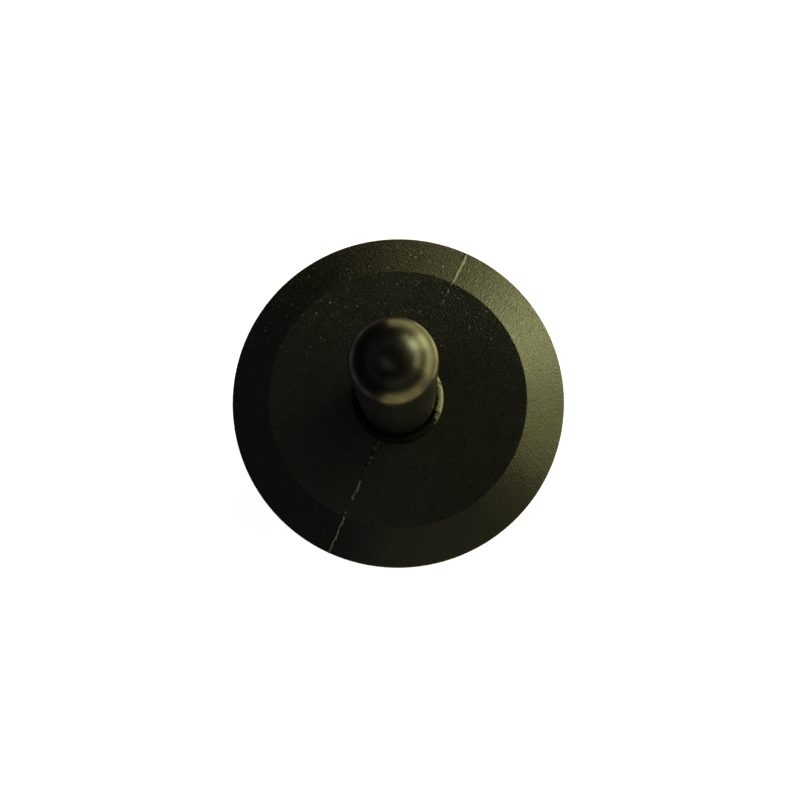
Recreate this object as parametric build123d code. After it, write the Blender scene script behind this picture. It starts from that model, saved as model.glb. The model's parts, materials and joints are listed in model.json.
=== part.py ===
# Hand-held magnetic detacher for retail security tags.
#
# The tool stands on its rubber foot with the probe pointing up. The origin is the centre of the
# foot's underside, +Z runs along the tool to the probe's tip, and the half shells of the handle
# meet on the plane x = 0. Every length is in millimetres.
#
# The probe is a closed sleeve full of magnets. It slides 10 mm into the handle against a spring,
# guided by a bush in the flange, by its own collar in the barrel and by a stem in a rear bush.

from build123d import *
import os

# Driving dimensions: the flange and the handle
FLANGE_RADIUS = 25.0
FACE_RADIUS = 19.16        # where the flat face turns into the conical chamfer
FACE_Z = 72.0
CHAMFER_DROP = 3.0
RIM_HEIGHT = 3.0
HANDLE_BOTTOM = 12.0
HANDLE_BOTTOM_RADIUS = 16.8
PALM = (20.6, 30.0)        # radius and height of the palm swell
WAIST = (15.6, 50.0)       # radius and height of the waist
NECK = (18.0, 60.0)        # where the waist flares into the flange
WALL = 2.4
EDGE_ROUND = 0.4

# Driving dimensions: the probe
PROBE_RADIUS = 5.6
PROBE_EQUATOR_Z = FACE_Z + 33.0
MAGNET_RADIUS = 4.0
MAGNET_LENGTH = 12.0
MAGNET_COUNT = 3
TRAVEL = 10.0
GREASE_GROOVE = (FACE_Z + 0.2, FACE_Z + 0.8)   # just inside the mouth of the bush at rest
GREASE_GROOVE_DEPTH = 0.22

# Fits
RUNNING = 0.08             # radial play of a sliding shaft
LOOSE = 0.05               # radial play between pieces assembled once
DETAIL_CHAMFER = 0.3

# Guide bush
BUSH_BORE = PROBE_RADIUS + RUNNING
BUSH_RADIUS = 6.8
BUSH_FLANGE_RADIUS = 11.0
BUSH_FLANGE = (60.0, 64.0)
BUSH_REAR_Z = 56.0

# Barrel and what it holds
BARREL_BORE = 8.5
BARREL_RADIUS = 9.7
BARREL_BOTTOM = 18.5
PLUG_BOTTOM = 15.5
PLUG_TOP = 22.6
SEAT_TOP = 24.0
COLLAR_RADIUS = BARREL_BORE - RUNNING
COLLAR = (46.0, 54.0)
BUMPER_GAP = 0.1
STEM_RADIUS = 3.0
STEM_TAIL_Z = 15.6
STEM_HEAD_TOP = 55.5
STEM_BUSH_RADIUS = 4.6
PIN_RADIUS = 1.0
PIN_Z = 50.0
PIN_HALF_LENGTH = 9.3
SLOT_PLAY = 0.15
SLOT_SPARE = 0.3

# Return spring
SPRING_RADIUS = 6.4        # to the middle of the wire
SPRING_WIRE = 1.2
SPRING_TURNS = 6.0

# Fasteners across the joint line: (y, z) of each place
SHELL_SCREW_PLACES = [(side * y, z) for side in (-1, 1) for y, z in ((14.0, 28.0), (14.0, 64.4))]
DOWEL_PLACES = [(side * y, z) for side in (-1, 1) for y, z in ((13.0, 35.8), (20.0, 66.4))]
BOSS_RADIUS = 3.2
SCREW_SEAT = 8.0           # depth of the head's seat from the joint plane
SCREW_HEAD_RADIUS = 2.3
SCREW_HEAD_HEIGHT = 1.6
SCREW_RADIUS = 1.25
SCREW_REACH = 6.0          # length of the thread beyond the joint plane
HEX_KEY = 1.5              # width of the hexagon across its corners, halved
POCKET_RADIUS = 2.5
INSERT_RADIUS = 2.0
INSERT = (0.5, 6.5)
DOWEL_RADIUS = 1.0
DOWEL_HALF_LENGTH = 3.0
DOWEL_BOSS_RADIUS = 2.3

# Rear end
CAP_BOTTOM = 1.2
CAP_BOTTOM_RADIUS = 15.6
CAP_ROUND = 1.6
CAP_FLOOR = (3.0, 5.0)
CAP_SPIGOT = (13.1, 14.3)  # inner and outer radius of the ring that ties the shells together
CAP_SPIGOT_TOP = 15.0
CAP_SCREW_PLACES = [(sx * 8.8, sy * 8.8) for sx in (-1, 1) for sy in (-1, 1)]
CAP_BOSS_RADIUS = 2.6
CAP_SCREW_TOP = 21.0
SHELL_BOSS_TOP = 24.0
FOOT_RADIUS = 13.6
FOOT_GROOVES = (4.5, 7.5, 10.5)
LUG_END_Y = 24.6
LUG_Z = (3.4, 8.4)
LUG_RADIUS = 4.0
EYELET_RADIUS = 2.7
EYELET_BORE = 2.2
EYELET_LIP = (0.6, 0.5)     # width and thickness of the rolled lips

# Ribs and grip
BARREL_RIBS = (19.4, 35.0, 48.0)
RIB_THICKNESS = 1.6
REAR_RIB = (13.5, 15.4)
REAR_RIB_RADIUS = 13.0
REAR_RIB_BORE = 7.0
NOSE_BLOCK_RADIUS = 13.4
NOSE_BLOCK_BOTTOM = 58.4
GRIP_GROOVES = [0.64 + 0.055 * step for step in (-2, -1, 0, 1, 2)]  # fractions of the side curve
GRIP_WIRE = 0.9            # radius of the round groove
GRIP_DEPTH = 0.5


def rod(radius, bottom, top, x=0.0, y=0.0):
    """A cylinder along Z between two heights."""
    return Pos(x, y, (bottom + top) / 2) * Cylinder(radius, top - bottom)


def cross_rod(radius, start, end, y=0.0, z=0.0):
    """A cylinder along X between two places."""
    return Pos((start + end) / 2, y, z) * Rot(0, 90, 0) * Cylinder(radius, end - start)


def ring(outer, inner, bottom, top):
    return rod(outer, bottom, top) - rod(inner, bottom, top)


def turned(outline):
    """The solid of revolution about Z of a closed outline drawn as (radius, z)."""
    return revolve(Plane.XZ * make_face(outline), Axis.Z)


def soften(solid, size=DETAIL_CHAMFER):
    """Break every circular end edge of a turned piece."""
    return chamfer(solid.edges().filter_by(GeomType.CIRCLE), size)


def joined(solids):
    """Separate solids kept together in one node."""
    return Compound(children=list(solids))


def handle_side(inset, top):
    """The curve of the handle's side from its rear end to the point top, moved inwards by inset."""
    return Spline(
        (HANDLE_BOTTOM_RADIUS - inset, HANDLE_BOTTOM),
        (PALM[0] - inset, PALM[1]),
        (WAIST[0] - inset, WAIST[1]),
        (NECK[0] - inset, NECK[1]),
        top,
        tangents=((0.28, 1.0), (1.0, 0.32)),
    )


def grip_groove(side, place):
    """A round notch in the side curve, at a fraction of its length."""
    along = side % place
    outward = Vector(along.Y, -along.X)
    return Pos(side @ place + outward * (GRIP_WIRE - GRIP_DEPTH)) * Circle(GRIP_WIRE)


def handle_outline():
    """The outside of the handle and flange in section, with its grip grooves."""
    rim_top = FACE_Z - CHAMFER_DROP
    rim_bottom = rim_top - RIM_HEIGHT
    with BuildLine() as outline:
        side = handle_side(0, (FLANGE_RADIUS - 1.0, rim_bottom))
        Polyline(
            side @ 1,
            (FLANGE_RADIUS, rim_bottom + 0.8),
            (FLANGE_RADIUS, rim_top),
            (FACE_RADIUS, FACE_Z),
            (0, FACE_Z),
            (0, HANDLE_BOTTOM),
            side @ 0,
        )
    face = make_face(outline.line)
    corners = [v for v in face.vertices() if v.X > FACE_RADIUS - 1 and v.Y >= rim_bottom]
    return fillet(corners, EDGE_ROUND) - [grip_groove(side, place) for place in GRIP_GROOVES]


def handle_hollow():
    """The space inside the wall, as a solid of revolution."""
    roof = FACE_Z - WALL
    with BuildLine() as outline:
        side = handle_side(WALL, (FLANGE_RADIUS - 2 * WALL, roof - WALL))
        Polyline(side @ 1, (FACE_RADIUS, roof), (0, roof), (0, HANDLE_BOTTOM), side @ 0)
    return turned(outline.line)


def shell_ribs():
    """Everything inside the shells' wall that carries the barrel and the bush."""
    ribs = [rod(FLANGE_RADIUS, z, z + RIB_THICKNESS) for z in BARREL_RIBS]
    nose = rod(NOSE_BLOCK_RADIUS, NOSE_BLOCK_BOTTOM, FACE_Z)
    rear = rod(REAR_RIB_RADIUS, *REAR_RIB) - rod(REAR_RIB_BORE, *REAR_RIB)
    return sum(ribs, start=nose) + rear


def shell_bosses():
    """Bosses for the screws across the joint, the dowels and the cap screws."""
    bosses = [cross_rod(BOSS_RADIUS, -FLANGE_RADIUS, SCREW_REACH + 3, *at) for at in SHELL_SCREW_PLACES]
    bosses += [cross_rod(DOWEL_BOSS_RADIUS, -4.5, 4.5, *at) for at in DOWEL_PLACES]
    bosses += [rod(CAP_BOSS_RADIUS, HANDLE_BOTTOM, SHELL_BOSS_TOP, *at) for at in CAP_SCREW_PLACES]
    return bosses


def shell_holes():
    """The bore for the barrel, screw pockets, and the holes for inserts and dowels."""
    holes = [
        rod(BARREL_RADIUS + LOOSE, REAR_RIB[1], BUSH_FLANGE[0]),
        rod(REAR_RIB_BORE, HANDLE_BOTTOM, REAR_RIB[1]),
        rod(BUSH_FLANGE_RADIUS, *BUSH_FLANGE),
        rod(BUSH_RADIUS, BUSH_FLANGE[1], FACE_Z),
    ]
    for place in SHELL_SCREW_PLACES:
        holes.append(cross_rod(POCKET_RADIUS, -FLANGE_RADIUS - 1, -SCREW_SEAT, *place))
        holes.append(cross_rod(SCREW_RADIUS + 0.1, -SCREW_SEAT, 0, *place))
        holes.append(cross_rod(INSERT_RADIUS, 0, INSERT[1] + 0.5, *place))
    for place in DOWEL_PLACES:
        holes.append(cross_rod(DOWEL_RADIUS + 0.02, -DOWEL_HALF_LENGTH - 0.3, DOWEL_HALF_LENGTH + 0.3, *place))
    for place in CAP_SCREW_PLACES:
        holes.append(rod(SCREW_RADIUS, HANDLE_BOTTOM, CAP_SCREW_TOP + 0.5, *place))
    return holes


def shell_pair():
    """Both half shells, cut apart on the plane x = 0."""
    outer = revolve(Plane.XZ * handle_outline(), Axis.Z)
    inside = shell_ribs()
    for boss in shell_bosses():
        inside += boss
    body = outer - handle_hollow() + (inside & outer)
    for hole in shell_holes():
        body -= hole
    half = Box(2 * FLANGE_RADIUS, 3 * FLANGE_RADIUS, 3 * FACE_Z)
    return [body & (Pos(side * FLANGE_RADIUS, 0, 0) * half) for side in (-1, 1)]


def guide_bush():
    """Flanged bush whose half-round lip stands proud of the face round the probe."""
    lip_round = (BUSH_RADIUS - BUSH_BORE) / 2
    lip_z = FACE_Z + 0.24
    with BuildLine() as outline:
        bore = Line((BUSH_BORE, BUSH_REAR_Z), (BUSH_BORE, lip_z))
        lip = ThreePointArc(bore @ 1, (BUSH_BORE + lip_round, lip_z + lip_round), (BUSH_RADIUS, lip_z))
        Polyline(
            lip @ 1,
            (BUSH_RADIUS, BUSH_FLANGE[1]),
            (BUSH_FLANGE_RADIUS, BUSH_FLANGE[1]),
            (BUSH_FLANGE_RADIUS, BUSH_FLANGE[0]),
            (BARREL_BORE, BUSH_FLANGE[0]),
            (BARREL_BORE, BUSH_REAR_Z),
            bore @ 0,
        )
    return turned(outline.line)


def probe_sleeve():
    """Closed sleeve with a hemispherical tip, a grease groove and a guide collar at its rear end."""
    bore = MAGNET_RADIUS + LOOSE
    groove_floor = PROBE_RADIUS - GREASE_GROOVE_DEPTH
    with BuildLine() as outline:
        side = Polyline(
            (bore, COLLAR[0]),
            (COLLAR_RADIUS - DETAIL_CHAMFER, COLLAR[0]),
            (COLLAR_RADIUS, COLLAR[0] + DETAIL_CHAMFER),
            (COLLAR_RADIUS, COLLAR[1] - DETAIL_CHAMFER),
            (COLLAR_RADIUS - DETAIL_CHAMFER, COLLAR[1]),
            (PROBE_RADIUS, COLLAR[1]),
            (PROBE_RADIUS, GREASE_GROOVE[0]),
            (groove_floor, GREASE_GROOVE[0]),
            (groove_floor, GREASE_GROOVE[1]),
            (PROBE_RADIUS, GREASE_GROOVE[1]),
            (PROBE_RADIUS, PROBE_EQUATOR_Z),
        )
        dome = RadiusArc(side @ 1, (0, PROBE_EQUATOR_Z + PROBE_RADIUS), -PROBE_RADIUS)
        axis = Line(dome @ 1, (0, PROBE_EQUATOR_Z + bore))
        roof = RadiusArc(axis @ 1, (bore, PROBE_EQUATOR_Z), bore)
        Line(roof @ 1, side @ 0)
    return turned(outline.line) - cross_rod(PIN_RADIUS + 0.03, -BARREL_RADIUS, BARREL_RADIUS, 0, PIN_Z)


def magnet_stack():
    """Domed pole tip, then magnets with steel discs between them, from the tip to the rear."""
    pole_length = 8.0
    disc_length = 2.0
    tip_bottom = PROBE_EQUATOR_Z - pole_length
    tip = rod(MAGNET_RADIUS, tip_bottom, PROBE_EQUATOR_Z)
    tip += Pos(0, 0, PROBE_EQUATOR_Z) * Sphere(MAGNET_RADIUS, arc_size1=0)
    stack = {"pole_tip": tip}
    top = tip_bottom
    for number in range(MAGNET_COUNT, 0, -1):
        stack[f"probe_magnet_{number}"] = soften(rod(MAGNET_RADIUS, top - MAGNET_LENGTH, top))
        top -= MAGNET_LENGTH
        if number > 1:
            stack[f"pole_disc_{number - 1}"] = rod(MAGNET_RADIUS, top - disc_length, top)
            top -= disc_length
    stack["magnet_pad"] = rod(MAGNET_RADIUS - 0.1, STEM_HEAD_TOP, top)
    return stack


def probe_stem():
    """Stem whose head closes the sleeve and whose tail runs in the rear bush."""
    stem = rod(MAGNET_RADIUS, COLLAR[0], STEM_HEAD_TOP) + rod(STEM_RADIUS, STEM_TAIL_Z, COLLAR[0])
    tail = stem.edges().filter_by(GeomType.CIRCLE).sort_by(Axis.Z)[0]
    stem = chamfer(tail, 2 * DETAIL_CHAMFER)
    return stem - cross_rod(PIN_RADIUS + 0.03, -BARREL_RADIUS, BARREL_RADIUS, 0, PIN_Z)


def guide_pin():
    """Cross pin through sleeve and stem, with both ends in the barrel's slots."""
    return soften(cross_rod(PIN_RADIUS, -PIN_HALF_LENGTH, PIN_HALF_LENGTH, 0, PIN_Z), 0.2)


def bumper_ring():
    """Rubber ring in front of the collar, which meets the bush when the probe comes out."""
    bumper = ring(BARREL_BORE - 0.4, PROBE_RADIUS + 0.02, COLLAR[1], BUSH_REAR_Z - BUMPER_GAP)
    outer_edges = bumper.edges().filter_by(GeomType.CIRCLE).sort_by(SortBy.RADIUS)[-2:]
    return fillet(outer_edges, 0.6)


def return_spring():
    """Round-wire compression spring between the rear seat and the collar."""
    wire = SPRING_WIRE / 2
    rise = COLLAR[0] - SEAT_TOP - SPRING_WIRE
    path = Helix(pitch=rise / SPRING_TURNS, height=rise, radius=SPRING_RADIUS)
    section = Plane(origin=path @ 0, z_dir=path % 0) * Circle(wire)
    return Pos(0, 0, SEAT_TOP + wire) * sweep(section, path=path, is_frenet=True)


def barrel_tube():
    """Tube in which the collar runs, with a slot each side for the guide pin."""
    tube = ring(BARREL_RADIUS, BARREL_BORE, BARREL_BOTTOM, BUSH_FLANGE[0])
    half_width = PIN_RADIUS + SLOT_PLAY
    low = PIN_Z - TRAVEL - PIN_RADIUS - SLOT_SPARE
    high = PIN_Z + PIN_RADIUS + SLOT_SPARE
    straight = Box(4 * BARREL_RADIUS, 2 * half_width, high - low - 2 * half_width)
    slot = Pos(0, 0, (low + high) / 2) * straight
    for end in (low + half_width, high - half_width):
        slot += cross_rod(half_width, -2 * BARREL_RADIUS, 2 * BARREL_RADIUS, 0, end)
    return tube - slot


def back_plug():
    """Plug pressed into the barrel's rear end, bored for the stem's bush."""
    plug = rod(BARREL_RADIUS, PLUG_BOTTOM, BARREL_BOTTOM) + rod(BARREL_BORE, BARREL_BOTTOM, PLUG_TOP)
    return plug - rod(STEM_BUSH_RADIUS, PLUG_BOTTOM, PLUG_TOP)


def stem_bush():
    return ring(STEM_BUSH_RADIUS, STEM_RADIUS + LOOSE, PLUG_BOTTOM, PLUG_TOP)


def spring_seat():
    return ring(BARREL_BORE - 0.2, STEM_RADIUS + 0.3, PLUG_TOP, SEAT_TOP)


def thread_inserts():
    """Brass inserts in the right shell, each with two retaining grooves."""
    insert = cross_rod(INSERT_RADIUS, *INSERT) - cross_rod(SCREW_RADIUS, *INSERT)
    for x in (2.5, 4.5):
        groove = cross_rod(INSERT_RADIUS, x - 0.3, x + 0.3) - cross_rod(INSERT_RADIUS - 0.25, x - 0.3, x + 0.3)
        insert -= groove
    return joined(Pos(0, y, z) * insert for y, z in SHELL_SCREW_PLACES)


def screw(length):
    """Socket-head screw along Z with its seat at z = 0 and its thread pointing up."""
    head = soften(rod(SCREW_HEAD_RADIUS, -SCREW_HEAD_HEIGHT, 0), 0.2)
    socket = Pos(0, 0, -SCREW_HEAD_HEIGHT) * extrude(RegularPolygon(HEX_KEY, 6), amount=1.0)
    shank = rod(SCREW_RADIUS - 0.02, 0, length)
    return head + shank - socket


def shell_screws():
    """Screws that pass from the left shell into the inserts of the right one."""
    one = Pos(-SCREW_SEAT, 0, 0) * Rot(0, 90, 0) * screw(SCREW_SEAT + SCREW_REACH)
    return joined(Pos(0, y, z) * one for y, z in SHELL_SCREW_PLACES)


def cap_screws():
    """Screws that pass up through the cap into the shells' bosses."""
    return joined(Pos(x, y, CAP_FLOOR[1]) * screw(CAP_SCREW_TOP - CAP_FLOOR[1]) for x, y in CAP_SCREW_PLACES)


def dowel_pins():
    pin = soften(cross_rod(DOWEL_RADIUS, -DOWEL_HALF_LENGTH, DOWEL_HALF_LENGTH), 0.2)
    return joined(Pos(0, y, z) * pin for y, z in DOWEL_PLACES)


def cap_body():
    """Cup of the end cap, with a rounded lower edge and the recess for the foot."""
    cup = Solid.make_cone(CAP_BOTTOM_RADIUS, HANDLE_BOTTOM_RADIUS, HANDLE_BOTTOM - CAP_BOTTOM)
    cup = Pos(0, 0, CAP_BOTTOM) * cup
    cup = fillet(cup.edges().filter_by(GeomType.CIRCLE).sort_by(Axis.Z)[0], CAP_ROUND)
    lug_y = LUG_END_Y - LUG_RADIUS
    arm = Pos(0, lug_y / 2, sum(LUG_Z) / 2) * Box(2 * LUG_RADIUS, lug_y, LUG_Z[1] - LUG_Z[0])
    lug = rod(LUG_RADIUS, *LUG_Z, 0, lug_y) + arm
    lug = fillet(lug.edges().filter_by(GeomType.CIRCLE), 0.8)
    return cup + lug


def end_cap():
    """Cap that closes the handle, carries the tether lug and ties the shells' rear ends."""
    inner = HANDLE_BOTTOM_RADIUS - WALL - 0.8
    cap = cap_body() - rod(inner, CAP_FLOOR[1], HANDLE_BOTTOM)
    cap += ring(CAP_SPIGOT[1], CAP_SPIGOT[0], CAP_FLOOR[1], CAP_SPIGOT_TOP)
    for place in CAP_SCREW_PLACES:
        cap += rod(CAP_BOSS_RADIUS, CAP_FLOOR[1], HANDLE_BOTTOM, *place)
        cap -= rod(CAP_BOSS_RADIUS + 0.2, HANDLE_BOTTOM, CAP_SPIGOT_TOP, *place)
        cap -= rod(SCREW_RADIUS + 0.1, CAP_FLOOR[1], HANDLE_BOTTOM, *place)
        cap -= rod(SCREW_HEAD_RADIUS + 0.1, CAP_FLOOR[0], CAP_FLOOR[1], *place)
    cap -= rod(FOOT_RADIUS, 0, CAP_FLOOR[0])
    return cap - rod(EYELET_RADIUS, *LUG_Z, 0, LUG_END_Y - LUG_RADIUS)


def tether_eyelet():
    """Rolled steel eyelet that lines the lug's hole."""
    lip_width, lip_height = EYELET_LIP
    bottom = LUG_Z[0] - lip_height
    top = LUG_Z[1] + lip_height
    eyelet = rod(EYELET_RADIUS, bottom, top)
    for low, high in ((bottom, LUG_Z[0]), (LUG_Z[1], top)):
        eyelet += rod(EYELET_RADIUS + lip_width, low, high)
    eyelet -= rod(EYELET_BORE, bottom, top)
    return Pos(0, LUG_END_Y - LUG_RADIUS, 0) * eyelet


def foot_pad():
    """Rubber foot, with round grooves in its underside."""
    pad = rod(FOOT_RADIUS - LOOSE, 0, CAP_FLOOR[0])
    pad = fillet(pad.edges().filter_by(GeomType.CIRCLE).sort_by(Axis.Z)[0], 0.5)
    for radius in FOOT_GROOVES:
        pad -= ring(radius + 0.5, radius - 0.5, 0, 0.6)
    return pad


def all_nodes():
    left, right = shell_pair()
    nodes = {
        "left_shell": left,
        "right_shell": right,
        "guide_bush": guide_bush(),
        "probe_sleeve": probe_sleeve(),
        "probe_stem": probe_stem(),
        "guide_pin": guide_pin(),
        "bumper_ring": bumper_ring(),
        "return_spring": return_spring(),
        "barrel_tube": barrel_tube(),
        "back_plug": back_plug(),
        "stem_bush": stem_bush(),
        "spring_seat": spring_seat(),
        "thread_inserts": thread_inserts(),
        "shell_screws": shell_screws(),
        "dowel_pins": dowel_pins(),
        "end_cap": end_cap(),
        "tether_eyelet": tether_eyelet(),
        "cap_screws": cap_screws(),
        "foot_pad": foot_pad(),
    }
    nodes.update(magnet_stack())
    return nodes


os.makedirs("parts", exist_ok=True)
for name, shape in all_nodes().items():
    export_step(shape, f"parts/{name}.step")
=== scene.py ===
"""Looks of the security tag detacher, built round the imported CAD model. Lengths are in metres."""

import json
import math

import bmesh
import bpy
import numpy as np
from mathutils import Matrix, Vector, noise
from mathutils.bvhtree import BVHTree


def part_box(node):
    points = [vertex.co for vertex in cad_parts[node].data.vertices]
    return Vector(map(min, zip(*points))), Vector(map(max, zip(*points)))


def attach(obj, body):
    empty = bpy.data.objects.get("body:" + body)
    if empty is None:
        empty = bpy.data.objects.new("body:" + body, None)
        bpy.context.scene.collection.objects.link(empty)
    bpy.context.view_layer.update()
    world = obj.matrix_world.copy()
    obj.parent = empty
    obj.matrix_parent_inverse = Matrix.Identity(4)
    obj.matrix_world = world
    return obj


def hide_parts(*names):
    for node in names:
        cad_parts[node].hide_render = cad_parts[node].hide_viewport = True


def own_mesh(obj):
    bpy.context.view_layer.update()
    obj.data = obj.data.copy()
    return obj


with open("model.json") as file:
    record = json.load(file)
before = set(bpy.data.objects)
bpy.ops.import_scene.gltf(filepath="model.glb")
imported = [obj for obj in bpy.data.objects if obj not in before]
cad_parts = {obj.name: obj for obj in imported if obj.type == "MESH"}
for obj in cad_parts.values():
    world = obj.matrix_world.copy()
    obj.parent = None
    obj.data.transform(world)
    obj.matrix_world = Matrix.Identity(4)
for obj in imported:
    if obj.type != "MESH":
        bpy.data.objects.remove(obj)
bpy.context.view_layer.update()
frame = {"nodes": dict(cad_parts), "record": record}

MM = 0.001

# Places read from the frame
shell_low, shell_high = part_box("right_shell")
spring_low, spring_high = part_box("return_spring")

FACE_Z = shell_high.z
FLANGE_RADIUS = shell_high.x
HANDLE_BOTTOM = shell_low.z

# The view's right and up, level with the flange
SIDEWAYS = Vector((0.910, 0.415, 0))
UPWARDS = Vector((-SIDEWAYS.y, SIDEWAYS.x, 0))

# Sizes of the half shells that the frame doesn't give
CHAMFER_DROP = 3.0 * MM
HOLE_RADIUS = 6.8 * MM
EDGE_ROUND = 0.4 * MM
RIM_Z = FACE_Z - CHAMFER_DROP

FLASH_STEP = 0.1 * MM

# The flash's cross-section in millimetres: places across the seam, with heights or shares of the height
BURIED = -0.05
# The first three points are a black strip just above the surface: painted shade for the dark line of the
# seam beside the ridge.
SEAM_SHADE = [(-0.18, BURIED), (-0.17, 0.01), (-0.04, 0.01)]
RIDGE = [(-0.02, 0.5), (0.06, 1.0), (0.22, 1.0), (0.36, 0.4)]
RIDGE_END = 0.46

# Where the noises of the flash are read, which settles where it is torn, wide or off the seam, and where
# its strip of painted shade shows
TORN_SEED = Vector((49.31, 14.63, 0))
WIDTH_SEED = Vector((13.6, 0, 0))
WANDER_SEED = Vector((9, 0, 0))
SEAM_SHADE_SEED = Vector((0, 34.6, 0))

# The floor and the backdrop glow alike, so that no horizon shows between them
PALE = (0.9, 0.91, 0.93, 1)

# From each lamp to the point that it faces
LAMP_DISTANCE = 0.35


# ---------------------------------------------------------------- mesh helpers

def new_piece(name, verts, faces, smooth=True):
    """A mesh object made of these points and faces."""
    mesh = bpy.data.meshes.new(name)
    mesh.from_pydata([tuple(v) for v in verts], [], faces)
    mesh.validate()
    piece = bpy.data.objects.new(name, mesh)
    bpy.context.scene.collection.objects.link(piece)
    if smooth:
        mesh.shade_smooth()
    return piece


def tube_faces(first, rings, count):
    """Faces from each ring of count points to the next, counted from the point first, and the two ends."""
    faces = []
    for i in range(rings - 1):
        low, high = first + i * count, first + (i + 1) * count
        for k in range(count):
            n = (k + 1) % count
            faces.append((low + k, low + n, high + n, high + k))
    last = first + (rings - 1) * count
    faces.append([first + k for k in range(count)])
    faces.append([last + k for k in reversed(range(count))])
    return faces


def outward(piece):
    """Turn every face outwards."""
    bm = bmesh.new()
    bm.from_mesh(piece.data)
    bmesh.ops.recalc_face_normals(bm, faces=bm.faces)
    bm.to_mesh(piece.data)
    bm.free()


def stand_for(piece, body, node):
    """Put a piece in a CAD node's place, on its body, and hide the node."""
    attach(piece, body)
    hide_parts(node)


# ---------------------------------------------------------------- materials

class Finish:
    """A material whose nodes are added one after another to one shader."""

    def __init__(self, name, colour, roughness, metallic=0.0, specular=0.5):
        self.material = bpy.data.materials.new(name)
        self.material.use_nodes = True
        self.tree = self.material.node_tree
        self.shader = self.tree.nodes["Principled BSDF"]
        self.shader.inputs["Base Color"].default_value = (*colour, 1)
        self.shader.inputs["Roughness"].default_value = roughness
        self.shader.inputs["Metallic"].default_value = metallic
        self.shader.inputs["Specular IOR Level"].default_value = specular
        self.place = self.tree.nodes.new("ShaderNodeTexCoord").outputs["Object"]
        self.normal = None

    def noise(self, pitch, detail=2.0, rough=0.5, stretch=None):
        """A noise field with features about pitch apart."""
        node = self.tree.nodes.new("ShaderNodeTexNoise")
        node.inputs["Scale"].default_value = 1 / pitch
        node.inputs["Detail"].default_value = detail
        node.inputs["Roughness"].default_value = rough
        source = self.place
        if stretch:
            mapping = self.tree.nodes.new("ShaderNodeMapping")
            mapping.inputs["Scale"].default_value = stretch
            self.tree.links.new(source, mapping.inputs["Vector"])
            source = mapping.outputs["Vector"]
        self.tree.links.new(source, node.inputs["Vector"])
        return node.outputs["Fac"]

    def spread(self, value, low, high, start=0.3, end=0.7):
        """Map a field's middle range onto low to high."""
        node = self.tree.nodes.new("ShaderNodeMapRange")
        node.inputs["From Min"].default_value = start
        node.inputs["From Max"].default_value = end
        node.inputs["To Min"].default_value = low
        node.inputs["To Max"].default_value = high
        self.tree.links.new(value, node.inputs["Value"])
        return node.outputs["Result"]

    def ramp(self, direction, start, end, low, high):
        """A field that grows from low to high between two distances along a direction."""
        node = self.tree.nodes.new("ShaderNodeVectorMath")
        node.operation = "DOT_PRODUCT"
        node.inputs[1].default_value = direction
        self.tree.links.new(self.place, node.inputs[0])
        return self.spread(node.outputs["Value"], low, high, start, end)

    def times(self, first, second):
        """One field times another."""
        node = self.tree.nodes.new("ShaderNodeMath")
        node.operation = "MULTIPLY"
        self.tree.links.new(first, node.inputs[0])
        self.tree.links.new(second, node.inputs[1])
        return node.outputs["Value"]

    def vary_roughness(self, value, low, high):
        """Let the roughness follow a field, from low to high."""
        self.tree.links.new(self.spread(value, low, high), self.shader.inputs["Roughness"])

    def vary_colour(self, value, dark, light):
        """Let the colour follow a field, from dark to light."""
        mix = self.tree.nodes.new("ShaderNodeMix")
        mix.data_type = "RGBA"
        mix.inputs["A"].default_value = (*dark, 1)
        mix.inputs["B"].default_value = (*light, 1)
        self.tree.links.new(self.spread(value, 0, 1), mix.inputs["Factor"])
        self.tree.links.new(mix.outputs["Result"], self.shader.inputs["Base Color"])

    def paint_over(self, share, colour):
        """Lay a colour over the varied one where the field is above 0."""
        mix = self.tree.nodes.new("ShaderNodeMix")
        mix.data_type = "RGBA"
        self.tree.links.new(self.shader.inputs["Base Color"].links[0].from_socket, mix.inputs["A"])
        mix.inputs["B"].default_value = (*colour, 1)
        self.tree.links.new(share, mix.inputs["Factor"])
        self.tree.links.new(mix.outputs["Result"], self.shader.inputs["Base Color"])

    def relief(self, value, depth):
        """Add a bump of this depth on top of those before it."""
        node = self.tree.nodes.new("ShaderNodeBump")
        node.inputs["Distance"].default_value = depth
        self.tree.links.new(value, node.inputs["Height"])
        if self.normal:
            self.tree.links.new(self.normal, node.inputs["Normal"])
        self.normal = node.outputs["Normal"]
        self.tree.links.new(self.normal, self.shader.inputs["Normal"])


def spark_eroded():
    """Matte black moulding with a spark-eroded mould's fine grain, coarser towards one side, where pale
    specks are painted near the face as painted glints.
    """
    finish = Finish("spark_eroded_black", (0.0075, 0.008, 0.008), 0.32)
    finish.vary_colour(finish.noise(2.5 * MM, 3), (0.006, 0.0064, 0.0066), (0.009, 0.0098, 0.0098))
    finish.vary_roughness(finish.noise(0.5 * MM, 2), 0.26, 0.37)
    grain = finish.noise(0.3 * MM, 2, 0.6)
    finish.relief(finish.times(grain, finish.ramp(UPWARDS, -20 * MM, 20 * MM, 0.7, 2.5)), 0.045 * MM)
    specks = finish.spread(finish.noise(0.22 * MM, 1), 0, 1, 0.62, 0.72)
    finish.relief(finish.times(specks, finish.ramp(UPWARDS, 2 * MM, 18 * MM, 0, 1.4)), 0.03 * MM)
    # Painted glints: pale specks laid near the face on the view's upper side, where light catches the
    # grain.
    painted_glints = finish.spread(finish.noise(0.35 * MM, 1), 0, 1, 0.72, 0.77)
    near_face = finish.ramp((0, 0, 1), FACE_Z - 4 * MM, FACE_Z - 2 * MM, 0, 1)
    painted_glints = finish.times(painted_glints, finish.times(near_face, finish.ramp(UPWARDS, 5 * MM, 12 * MM, 0, 1)))
    finish.paint_over(painted_glints, (0.32, 0.32, 0.3))
    return finish.material


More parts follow.
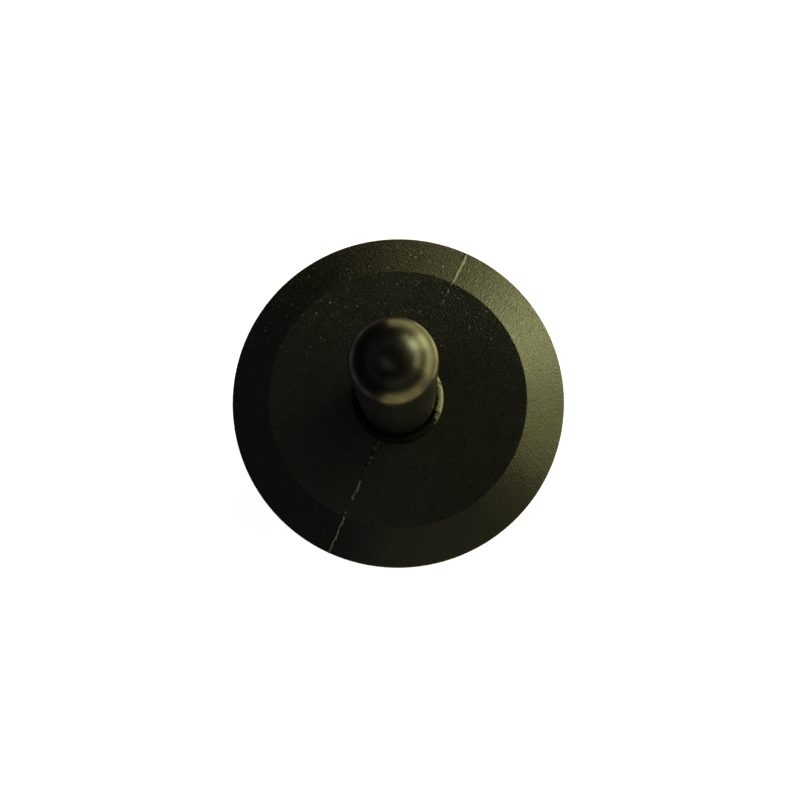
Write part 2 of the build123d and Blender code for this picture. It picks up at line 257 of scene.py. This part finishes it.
def flash_painted_highlight():
    """Torn flash, painted a little paler than the grained skin beside it as a painted highlight along the
    ridge.
    """
    # The pale colour is a painted highlight along the ridge.
    finish = Finish("flash_painted_highlight", (0.075, 0.08, 0.083), 0.45)
    finish.relief(finish.noise(0.12 * MM, 2), 0.02 * MM)
    return finish.material


def seam_shade_black():
    """Painted shade: a black, dull sheet for the dark line between the half shells."""
    return Finish("seam_shade_black", (0.001, 0.001, 0.001), 1.0, specular=0.0).material


def smooth_black():
    """The satin skin of the probe."""
    finish = Finish("satin_black", (0.004, 0.004, 0.005), 0.3)
    finish.vary_roughness(finish.noise(1.2 * MM, 3), 0.27, 0.32)
    finish.relief(finish.noise(0.5 * MM, 2), 0.004 * MM)
    return finish.material


def bush_black():
    """Turned plastic; the mouth is painted pale on one side as a painted highlight, and is smoother there.
    """
    finish = Finish("turned_black", (0.003, 0.003, 0.003), 0.4, specular=0.15)
    patches = finish.spread(finish.noise(0.7 * MM, 1), 0.4, 1.2)
    # Painted highlight: the side of the mouth toward the view's right, where the main lights fall, is
    # painted pale.
    painted_highlight_side = finish.times(patches, finish.ramp(SIDEWAYS, 4.9 * MM, 6.4 * MM, 0, 1))
    finish.vary_colour(painted_highlight_side, (0.002, 0.002, 0.002), (0.25, 0.24, 0.21))
    finish.vary_roughness(painted_highlight_side, 0.6, 0.2)
    finish.relief(finish.noise(0.4 * MM, 2), 0.006 * MM)
    return finish.material


def fine_matte():
    """The finely textured plastic of the end cap and the plug."""
    finish = Finish("fine_matte_black", (0.014, 0.014, 0.013), 0.55)
    finish.vary_roughness(finish.noise(0.6 * MM, 2), 0.48, 0.62)
    finish.relief(finish.noise(0.3 * MM, 2), 0.035 * MM)
    return finish.material


def rubber():
    """Dull soft rubber with a cloudy surface."""
    finish = Finish("black_rubber", (0.022, 0.022, 0.022), 0.75, specular=0.35)
    finish.vary_colour(finish.noise(1.5 * MM, 4), (0.017, 0.017, 0.017), (0.03, 0.03, 0.029))
    finish.relief(finish.noise(0.25 * MM, 3), 0.02 * MM)
    return finish.material


def metal(name, colour, roughness, stretch=(1, 1, 12)):
    """Machined or plated metal with fine tool marks."""
    finish = Finish(name, colour, roughness, metallic=1.0)
    marks = finish.noise(0.6 * MM, 3, stretch=stretch)
    finish.vary_roughness(marks, roughness * 0.75, min(1, roughness * 1.3))
    finish.relief(marks, 0.003 * MM)
    return finish.material


def materials():
    """One material for each slot of the record, and two more, for the flash and for the painted shade
    along the seam.
    """
    return {
        "shell_black": spark_eroded(),
        "flash": flash_painted_highlight(),
        "seam_shade": seam_shade_black(),
        "probe_black": smooth_black(),
        "bush_black": bush_black(),
        "cap_black": fine_matte(),
        "rubber_black": rubber(),
        "plug_black": fine_matte(),
        "magnet_nickel": metal("nickel_plate", (0.72, 0.7, 0.64), 0.18),
        "pole_steel": metal("turned_steel", (0.5, 0.5, 0.51), 0.32),
        "stem_steel": metal("ground_steel", (0.58, 0.58, 0.59), 0.25),
        "spring_steel": metal("spring_wire", (0.42, 0.42, 0.43), 0.3, (1, 1, 1)),
        "barrel_aluminium": metal("turned_aluminium", (0.76, 0.76, 0.77), 0.35),
        "bush_bronze": metal("sintered_bronze", (0.55, 0.39, 0.2), 0.5, (1, 1, 1)),
        "insert_brass": metal("turned_brass", (0.74, 0.57, 0.28), 0.3),
        "screw_steel": metal("blackened_steel", (0.06, 0.06, 0.065), 0.35, (1, 1, 1)),
        "eyelet_steel": metal("rolled_nickel", (0.68, 0.67, 0.64), 0.22, (1, 1, 1)),
    }


# ---------------------------------------------------------------- moulding flash on the seam

def seam_stations(side):
    """Places along the seam and the surface's direction there, from the hole in the face to the rear end.

    side is 1 for the +Y run of the seam and -1 for the other."""
    surface = BVHTree.FromObject(frame["nodes"]["right_shell"], bpy.context.evaluated_depsgraph_get())
    beside = 0.1 * MM
    above = FACE_Z + 10 * MM
    outside = 2 * FLANGE_RADIUS
    inner, outer = HOLE_RADIUS + 0.3 * MM, FLANGE_RADIUS - EDGE_ROUND / 2
    top, bottom = RIM_Z - EDGE_ROUND / 2, HANDLE_BOTTOM + 0.2 * MM
    stations = []
    for radius in np.arange(inner, outer, FLASH_STEP):
        origin = Vector((beside, side * radius, above))
        stations.append(surface.ray_cast(origin, Vector((0, 0, -1)))[:2])
    for z in np.arange(top, bottom, -FLASH_STEP):
        origin = Vector((beside, side * outside, z))
        stations.append(surface.ray_cast(origin, Vector((0, -side, 0)))[:2])
    return [station for station in stations if station[0]]


def uneven(place, pitch, seed):
    """Smooth noise at a place on the seam, with features about pitch millimetres apart."""
    return noise.noise(place / (pitch * MM) + seed)


def flash_height(place):
    """Height of the flash: ragged on the chamfer, below 0 where the face has lost it, low on the grip."""
    slow = uneven(place, 2.3, TORN_SEED)
    rough = uneven(place, 0.7, TORN_SEED)
    fine = uneven(place, 0.25, TORN_SEED)
    level, unevenness = 0.03, 0.2
    if place.z > RIM_Z:
        level, unevenness = 0.1, 1
    if place.z > FACE_Z - 0.1 * MM:
        level = -0.005
    return (level + unevenness * (0.06 * slow + 0.09 * rough + 0.05 * fine)) * MM


def flash_section(place):
    """Distances across the seam and out of the surface: the strip of painted shade, the ridge and the
    ridge's buried end.
    """
    height = flash_height(place)
    swell = 0.85 + 0.7 * uneven(place, 0.9, WIDTH_SEED)
    # Where the noise allows, the black strip of painted shade lies just above the surface; elsewhere it is
    # buried.
    seam_shade_shows = uneven(place, 0.9, SEAM_SHADE_SEED) > 0.05
    section = [(across * MM, (lift if seam_shade_shows else BURIED) * MM) for across, lift in SEAM_SHADE]
    for across, share in RIDGE:
        section.append((across * swell * MM, height * (share if height > 0 else 1)))
    return section + [(RIDGE_END * swell * MM, BURIED * MM)]


def seam_flash(finishes):
    """The ragged ridge of plastic that the mould left along both runs of the seam, and a strip of painted
    shade beside it.
    """
    slot_names = ("flash", "seam_shade", "shell_black")
    torn, seam_shade, moulded = range(len(slot_names))
    count = len(SEAM_SHADE) + len(RIDGE) + 1
    verts, faces, slots = [], [], []
    for side in (1, -1):
        stations = seam_stations(side)
        faces += tube_faces(len(verts), len(stations), count)
        for place, facing in stations:
            reach = 0.12 * MM if place.z > RIM_Z else 0.03 * MM
            wander = uneven(place, 1.4, WANDER_SEED) * reach
            for across, lift in flash_section(place):
                point = place + facing * lift
                verts.append((across + wander, point.y, point.z))
        for place, _ in stations[:-1]:
            # Each band's strip faces get the painted shade; above the rim the ridge gets the pale flash, a
            # painted highlight, and on the grip the shell's own material.
            skin = torn if place.z > RIM_Z else moulded
            slots += [seam_shade] * (len(SEAM_SHADE) - 1) + [skin] * (count - len(SEAM_SHADE) + 1)
        slots += [torn, moulded]
    piece = new_piece("seam_flash", verts, faces, smooth=False)
    for name in slot_names:
        piece.data.materials.append(finishes[name])
    piece.data.polygons.foreach_set("material_index", slots)
    outward(piece)
    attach(piece, "handle")


# ---------------------------------------------------------------- other pieces

def coil_spring(finishes):
    """The return spring as a wound wire, built at one length; the real spring shortens as the probe goes
    in.
    """
    wire = 0.6 * MM
    radius = spring_high.x - wire
    turns = 6
    low, high = spring_low.z + wire, spring_high.z - wire
    steps, around = 64 * turns, 12
    verts = []
    for i in range(steps + 1):
        turn = 2 * math.pi * turns * i / steps
        middle = Vector((radius * math.cos(turn), radius * math.sin(turn), low + (high - low) * i / steps))
        out = Vector((math.cos(turn), math.sin(turn), 0))
        for k in range(around):
            a = 2 * math.pi * k / around
            verts.append(middle + (out * math.cos(a) + Vector((0, 0, 1)) * math.sin(a)) * wire)
    piece = new_piece("coil_spring", verts, tube_faces(0, steps + 1, around))
    outward(piece)
    piece.data.materials.append(finishes["spring_steel"])
    stand_for(piece, "handle", "return_spring")
    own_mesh(piece)


def finish_nodes(finishes):
    """Give every CAD node the material of its slot."""
    for part in frame["record"]["subparts"]:
        node = frame["nodes"][part["node"]]
        for slot in node.material_slots:
            slot.material = finishes[part["material_slot"]]


# ---------------------------------------------------------------- stage, lights and camera

def heading(azimuth, elevation):
    """A direction from its azimuth in the view, counted from the right, and its height above the rim."""
    a, e = math.radians(azimuth), math.radians(elevation)
    flat = SIDEWAYS * math.cos(a) + UPWARDS * math.sin(a)
    return flat * math.cos(e) + Vector((0, 0, math.sin(e)))


def lamp(name, azimuth, elevation, spread, power, colour, height):
    """A rectangular light that faces a height on the axis and spans spread degrees each way from there."""
    data = bpy.data.lights.new(name, "AREA")
    data.shape = "RECTANGLE"
    data.size, data.size_y = (2 * LAMP_DISTANCE * math.tan(math.radians(angle / 2)) for angle in spread)
    data.energy = power
    data.color = colour
    light = bpy.data.objects.new(name, data)
    bpy.context.scene.collection.objects.link(light)
    direction = heading(azimuth, elevation)
    light.location = Vector((0, 0, height)) + direction * LAMP_DISTANCE
    light.rotation_euler = direction.to_track_quat("Z", "Y").to_euler()
    light.visible_camera = False


def bank(name, azimuth, width, low, high, power, colour, height=FACE_Z):
    """Lamps side by side in an arc round the axis, width degrees long, from one elevation to another."""
    usual_width = 30
    count = max(1, round(width / usual_width))
    middle = (low + high) / 2
    spread = (width / count, high - low)
    for k in range(count):
        turn = azimuth + width * ((k + 0.5) / count - 0.5)
        lamp(f"{name}_{k + 1}", turn, middle, spread, power / count, colour, height)


def floor():
    """A pale level floor, a hair below the foot, so that the two don't flicker through each other."""
    reach = 2
    below_foot = -0.02 * MM
    corners = [(-reach, -reach), (reach, -reach), (reach, reach), (-reach, reach)]
    piece = new_piece("floor", [(x, y, below_foot) for x, y in corners], [(0, 1, 2, 3)], smooth=False)
    finish = Finish("pale_floor", (0.8, 0.8, 0.8), 0.9, specular=0.0)
    finish.shader.inputs["Emission Color"].default_value = PALE
    finish.shader.inputs["Emission Strength"].default_value = 1.0
    piece.data.materials.append(finish.material)
    piece.visible_glossy = False


def backdrop():
    """An even pale surround that the camera sees, and that lights nothing."""
    world = bpy.data.worlds.new("studio")
    world.use_nodes = True
    world.node_tree.nodes["Background"].inputs["Color"].default_value = PALE
    world.node_tree.nodes["Background"].inputs["Strength"].default_value = 1.0
    world.cycles_visibility.diffuse = False
    world.cycles_visibility.glossy = False
    bpy.context.scene.world = world


def lights():
    """Soft banks, strongest from the view's upper right, which leave its left side dark."""
    tip_height = 0.095
    grazing_height = 0.085
    khaki = (1.0, 0.98, 0.4)
    amber = (1.0, 0.84, 0.31)
    cool = (0.8, 0.94, 1.0)
    plain = (0.95, 1.0, 0.88)
    bank("key", 36, 26, -14, 39, 0.71, (0.98, 1.0, 0.43))
    bank("key_wings", 24, 80, 21, 39, 0.62, (1.0, 0.95, 0.37))
    bank("sky_window", 37, 18, 24, 42, 0.15, (0.75, 0.85, 0.65))
    bank("ceiling", 100, 210, 40, 60, 0.036, plain)
    bank("overhead", 225, 60, 62, 80, 0.03, plain)
    bank("grazing", 38, 116, -29, 4, 0.8, (0.97, 0.82, 0.33), grazing_height)
    bank("right_edge", 15, 60, -14, 4, 0.3, khaki)
    bank("front_edge", 305, 90, -20, 0, 0.2, amber)
    bank("front_wing", 305, 90, 21, 39, 0.055, (1.0, 0.93, 0.5))
    bank("low_right", 15, 120, -47, -11, 0.28, khaki, tip_height)
    bank("low_front", 300, 90, -47, -11, 0.48, amber, tip_height)
    bank("under", 30, 60, -60, -47, 0.13, amber, tip_height)
    bank("left_fill", 210, 150, 21, 39, 0.028, cool)
    bank("low_left_fill", 180, 150, -47, -29, 0.05, (1.0, 0.85, 0.7), tip_height)


def camera():
    """High above the flange and a little below the axis in the view, so that the probe's side shows.

    Its place and its aim are in millimetres from the middle of the rim."""
    aside, below, above = 3.28, 25.2, 189
    aim_aside, aim_up = 0.30, 0.08
    data = bpy.data.cameras.new("camera")
    data.sensor_width = 36
    data.lens = 57.0
    view = bpy.data.objects.new("camera", data)
    bpy.context.scene.collection.objects.link(view)
    rim_centre = Vector((0, 0, RIM_Z))
    view.location = rim_centre + SIDEWAYS * aside * MM - UPWARDS * below * MM + Vector((0, 0, above * MM))
    aim = rim_centre + SIDEWAYS * aim_aside * MM + UPWARDS * aim_up * MM
    back = (view.location - aim).normalized()
    right = (SIDEWAYS - back * SIDEWAYS.dot(back)).normalized()
    view.rotation_euler = Matrix((right, back.cross(right), back)).transposed().to_euler()
    data.clip_start, data.clip_end = 0.01, 10
    bpy.context.scene.camera = view


bpy.context.scene.view_settings.view_transform = "Standard"
finishes = materials()
finish_nodes(finishes)
seam_flash(finishes)
coil_spring(finishes)
floor()
backdrop()
lights()
camera()
